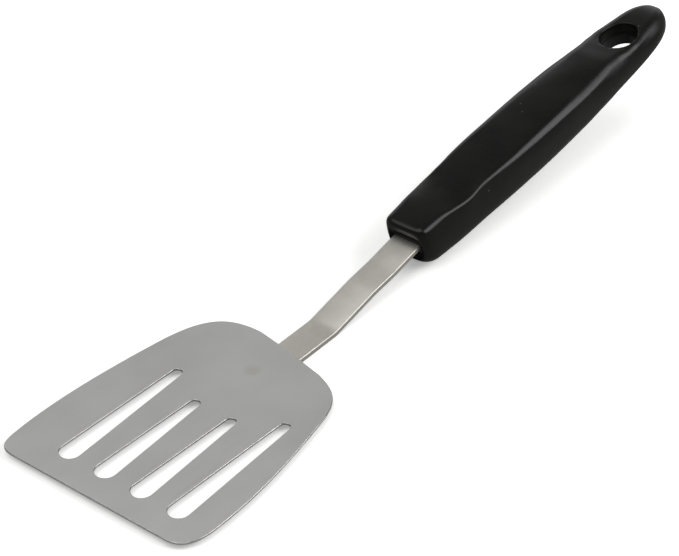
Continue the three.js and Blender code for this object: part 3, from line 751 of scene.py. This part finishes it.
def facingOut(mesh):
    # turns the whole mesh right side out, by the sign of its volume
    volume = 0.0
    mesh.calc_loop_triangles()
    for tri in mesh.loop_triangles:
        a, b, c = (mesh.vertices[i].co for i in tri.vertices)
        volume += a.dot(b.cross(c))
    if volume < 0:
        mesh.flip_normals()
    return mesh


def skinHeight(s, y, below):
    # height of the grip's top or belly over its axis, at distance y off the axis
    half = gripHalf(s)
    if below:
        half = list(reversed(half))
    for (y0, n0), (y1, n1) in zip(half, half[1:]):
        if y0 <= abs(y) <= y1:
            return n0 + (n1 - n0) * (abs(y) - y0) / max(y1 - y0, 1e-6)
    return half[-1][1]


def holeCutter():
    # oval bore whose lips follow the grip's top and belly; a ledge inside narrows it
    h = grip["hole"]
    count = 112
    step = -h["step"]
    # growth of the oval, height, and what the height is measured from
    steps = [
        (1.6, -9.0, "axis"), (1.6, -1.0, "belly"), (0.9, -0.05, "belly"), (0.4, 0.12, "belly"),
        (0.1, 0.35, "belly"), (0.0, 0.7, "belly"), (step, h["ledge"] - 0.2, "axis"),
        (step * 0.8, h["ledge"], "axis"), (-0.05, h["ledge"] + 0.02, "axis"),
        (0.0, h["ledge"] + 0.3, "axis"),
        (0.02, h["shelf"] - 0.3, "axis"), (0.08, h["shelf"], "axis"), (0.5, h["shelf"] + 0.05, "axis"),
        (0.55, -0.75, "top"), (0.6, -0.5, "top"), (0.72, -0.22, "top"), (0.9, -0.07, "top"),
        (1.2, 0.0, "top"), (1.9, 0.8, "top"), (1.9, 14.0, "axis"),
    ]
    rings = []
    for grow, height, measuredFrom in steps:
        ring = []
        for i in range(count):
            a = 2 * math.pi * i / count
            s = h["s"] + (h["halfLength"] + grow * h["lip"]) * math.cos(a)
            y = h["y"] + (h["halfWidth"] + grow * h["lip"]) * math.sin(a)
            level = 0.0 if measuredFrom == "axis" else skinHeight(s, y, measuredFrom == "belly")
            ring.append((s, y, level + height))
        rings.append(ring)
    mesh = facingOut(loftMesh("hangingHole", rings, gripFrame))
    cutter = bpy.data.objects.new("hangingHole", mesh)
    bpy.context.scene.collection.objects.link(cutter)
    return cutter


def buildGrip():
    rings = skinRings()
    rings = list(reversed(mouthRings(rings[0]))) + rings
    mesh = facingOut(loftMesh("gripShell", rings, gripFrame))
    shell = addPiece("gripShell", mesh, [gripPlastic])
    cutter = holeCutter()
    cut = shell.modifiers.new("hole", "BOOLEAN")
    cut.object = cutter
    cut.operation = "DIFFERENCE"
    cut.solver = "EXACT"
    depsgraph = bpy.context.evaluated_depsgraph_get()
    cutMesh = bpy.data.meshes.new_from_object(shell.evaluated_get(depsgraph), depsgraph=depsgraph)
    bpy.data.objects.remove(shell)
    bpy.data.objects.remove(cutter)
    shell = addPiece("gripShell", cutMesh, [gripPlastic])
    cutMesh.set_sharp_from_angle(angle=math.radians(38))
    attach(shell, "root")
    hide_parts("handle_shell")
    return shell


gripPiece = buildGrip()
print("grip:", len(gripPiece.data.polygons), "faces")


core = {
    "slot": (6.15, 1.15),
    # rings along the axis: distance behind the rim, half width, half height, squareness; the first
    # and last are the shank's slot
    "rings": [
        (0.7, 6.15, 1.15, 9), (0.64, 6.34, 2.4, 6), (0.72, 6.36, 2.5, 6),
        (1.0, 6.38, 2.55, 6), (1.05, 6.42, 2.85, 5), (1.1, 6.44, 2.95, 5), (1.4, 6.45, 3.0, 5),
        (1.46, 6.5, 3.25, 5), (2.5, 6.5, 3.3, 5), (2.55, 7.3, 3.35, 5), (2.7, 7.4, 3.4, 5),
        (86.3, 7.4, 3.4, 5), (86.6, 7.1, 3.1, 5), (86.6, 6.15, 1.15, 9),
    ],
}


def buildCore():
    count = 128
    angles = [2 * math.pi * (i + 0.5) / count for i in range(count)]
    rings = []
    for depth, halfWidth, halfHeight, power in core["rings"]:
        ring = squareRing(angles, halfWidth, halfHeight, -halfHeight, power)
        offset = grip["tangHeight"] if (halfWidth, halfHeight) == core["slot"] else 0.0
        rings.append([(leanBack(depth, n + offset), y, n + offset) for y, n in ring])
    mesh = facingOut(loftMesh("gripCore", rings, gripFrame, closed=True))
    piece = addPiece("gripCore", mesh, [innerPlastic])
    mesh.set_sharp_from_angle(angle=math.radians(30))
    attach(piece, "root")
    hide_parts("handle_core")
    return piece


corePiece = buildCore()
print("core:", len(corePiece.data.polygons), "faces")


studio = {
    "camera": {
        "aim": (132.9, 6.2, 10.0),
        "azimuth": -48.63,
        "elevation": 36.13,
        "roll": -2.97,
        "distance": 885.3,
        "lens": 132.55,
    },
    "paperSize": 5.0,
    "fill": "#ffffff",
    "fillStrength": 0.18,
    # name: place and size in metres, watts; each is turned towards the frame's origin
    "lights": {
        "overhead": ((-0.55, 0.25, 1.5), (1.6, 1.6), 15),
        "rightBox": ((0.62, -0.92, 0.85), (1.2, 0.9), 15),
        "backPanel": ((1.02, 0.98, 0.36), (2.4, 0.60), 3.6),
    },
}


def addCamera():
    c = studio["camera"]
    a, e = math.radians(c["azimuth"]), math.radians(c["elevation"])
    back = Vector((math.sin(a) * math.cos(e), -math.cos(a) * math.cos(e), math.sin(e)))
    data = bpy.data.cameras.new("studioCamera")
    data.lens = c["lens"]
    data.clip_start = 0.02
    camera = bpy.data.objects.new("studioCamera", data)
    camera.rotation_mode = "QUATERNION"
    roll = Quaternion((0, 0, 1), math.radians(c["roll"]))
    camera.rotation_quaternion = back.to_track_quat("Z", "Y") @ roll
    camera.location = toolOrigin + Vector(c["aim"]) * mm + back * c["distance"] * mm
    bpy.context.scene.collection.objects.link(camera)
    bpy.context.scene.camera = camera


def addFloor():
    half = studio["paperSize"] / 2
    mesh = bpy.data.meshes.new("paperFloor")
    corners = [(-half, -half, 0), (half, -half, 0), (half, half, 0), (-half, half, 0)]
    mesh.from_pydata(corners, [], [(0, 1, 2, 3)])
    mesh.materials.append(paperSweep())
    floor = bpy.data.objects.new("paperFloor", mesh)
    floor.location.z = -0.1 * mm
    bpy.context.scene.collection.objects.link(floor)


def addLights():
    for name, (place, size, strength) in studio["lights"].items():
        data = bpy.data.lights.new(name, "AREA")
        data.shape = "RECTANGLE"
        data.size, data.size_y = size
        data.energy = strength
        light = bpy.data.objects.new(name, data)
        light.location = place
        light.rotation_euler = Vector(place).to_track_quat("Z", "Y").to_euler()
        light.visible_camera = False
        bpy.context.scene.collection.objects.link(light)
    world = bpy.data.worlds.new("studioAir")
    world.use_nodes = True
    air = world.node_tree.nodes["Background"]
    air.inputs["Color"].default_value = linear(studio["fill"])
    air.inputs["Strength"].default_value = studio["fillStrength"]
    bpy.context.scene.world = world


addCamera()
addFloor()
addLights()
bpy.context.scene.view_settings.view_transform = "Standard"
print("stage set")

for node in ("front_spot_weld", "rear_spot_weld"):
    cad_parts[node].data.materials.clear()
    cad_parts[node].data.materials.append(weldMetal)
